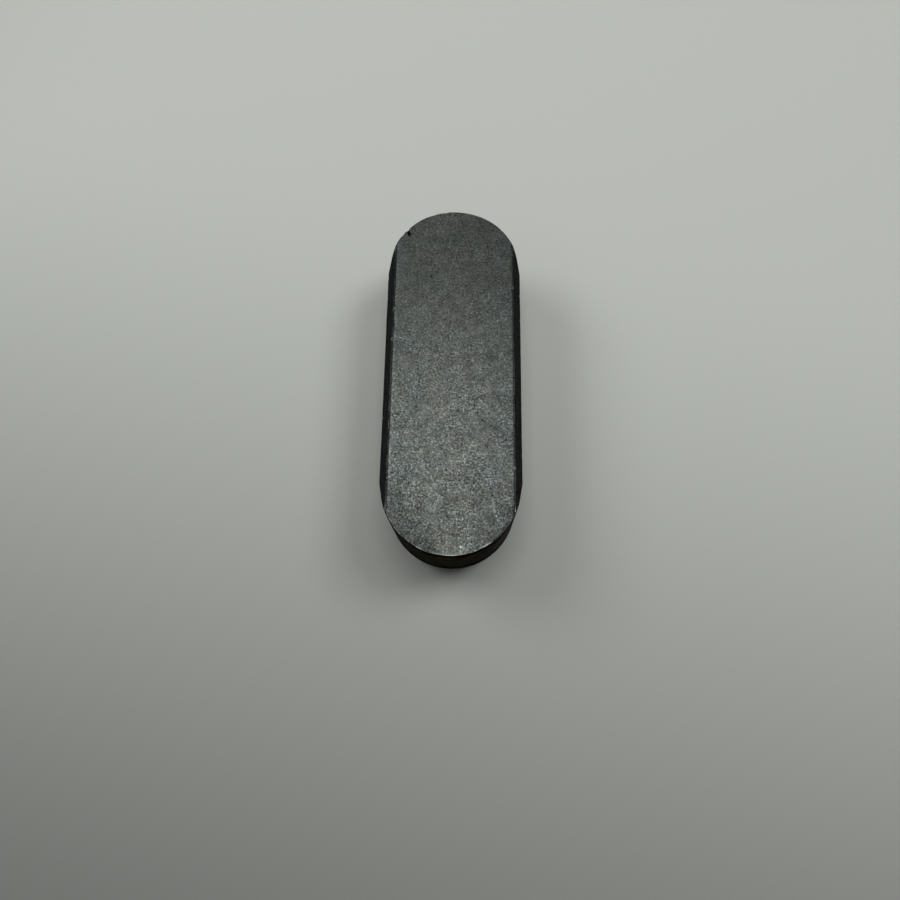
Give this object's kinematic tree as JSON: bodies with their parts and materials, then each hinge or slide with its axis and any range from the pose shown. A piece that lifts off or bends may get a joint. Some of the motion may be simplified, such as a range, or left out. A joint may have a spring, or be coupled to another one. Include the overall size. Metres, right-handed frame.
{
  "type": "parallel key",
  "caption": "Round-ended parallel key: a chamfered steel bar that sits in a shaft's keyway and drives the hub of a gear, pulley or coupling.",
  "frame": {"origin": "middle of the bottom face, the one that seats on the floor of the shaft's keyway", "axes": "+X across the key's width, +Y along its length, +Z from the bottom face up to the top face"},
  "size_m": [0.012, 0.032, 0.008],
  "materials": {
    "key_steel": "dull drawn carbon steel, finely speckled, with near-black scale on the chamfers and ends and bright worn edges"
  },
  "bodies": {
    "root": {"parallel_key": "key_steel"}
  },
  "joints": []
}
